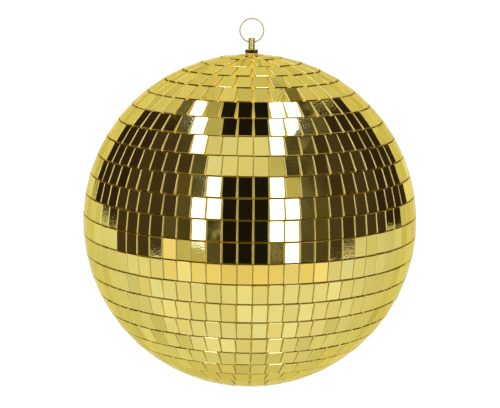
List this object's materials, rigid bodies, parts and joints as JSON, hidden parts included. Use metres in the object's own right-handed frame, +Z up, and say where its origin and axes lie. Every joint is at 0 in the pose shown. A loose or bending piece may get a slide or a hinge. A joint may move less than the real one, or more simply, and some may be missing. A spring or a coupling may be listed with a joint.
{
  "type": "mirror ball",
  "caption": "Hollow ball covered in level rows of small rectangular gold mirrors, hung from a pin with nuts, washers and a swinging split ring.",
  "frame": {"origin": "hang point, where a hook bears inside the top of the split ring", "axes": "+Z up along the pin and the ball's axis; the pictured side faces -Y; the ring lies in the XZ plane and swings about X"},
  "size_m": [0.3002, 0.3002, 0.3329],
  "materials": {
    "gold_mirror": "gold-tinted mirror glass",
    "core_plastic": "moulded, gold-painted",
    "gold_hardware": "polished gold plating",
    "ring_wire": "pale gold plating",
    "zinc_steel": "zinc plated"
  },
  "bodies": {
    "ball": {"anchor_plate": "zinc_steel", "core_lower_half": "core_plastic", "core_upper_half": "core_plastic", "hanging_pin": "gold_hardware", "inner_nut": "zinc_steel", "lock_washer": "zinc_steel", "mirror_bottom_pole": "gold_mirror", "mirror_row_equator": "gold_mirror", "mirror_row_lower_01": "gold_mirror", "mirror_row_lower_02": "gold_mirror", "mirror_row_lower_03": "gold_mirror", "mirror_row_lower_04": "gold_mirror", "mirror_row_lower_05": "gold_mirror", "mirror_row_lower_06": "gold_mirror", "mirror_row_lower_07": "gold_mirror", "mirror_row_lower_08": "gold_mirror", "mirror_row_lower_09": "gold_mirror", "mirror_row_lower_10": "gold_mirror", "mirror_row_lower_11": "gold_mirror", "mirror_row_lower_12": "gold_mirror", "mirror_row_upper_01": "gold_mirror", "mirror_row_upper_02": "gold_mirror", "mirror_row_upper_03": "gold_mirror", "mirror_row_upper_04": "gold_mirror", "mirror_row_upper_05": "gold_mirror", "mirror_row_upper_06": "gold_mirror", "mirror_row_upper_07": "gold_mirror", "mirror_row_upper_08": "gold_mirror", "mirror_row_upper_09": "gold_mirror", "mirror_row_upper_10": "gold_mirror", "mirror_row_upper_11": "gold_mirror", "mirror_row_upper_12": "gold_mirror", "outer_nut": "gold_hardware", "outer_washer": "gold_hardware"},
    "hanging_ring": {"split_ring": "ring_wire"}
  },
  "joints": [
    {"name": "ring_swing", "type": "hinge", "parent": "ball", "child": "hanging_ring", "pos_m": [0, 0, -0.02045], "axis": [1, 0, 0], "range_deg": [-115, 115]}
  ]
}
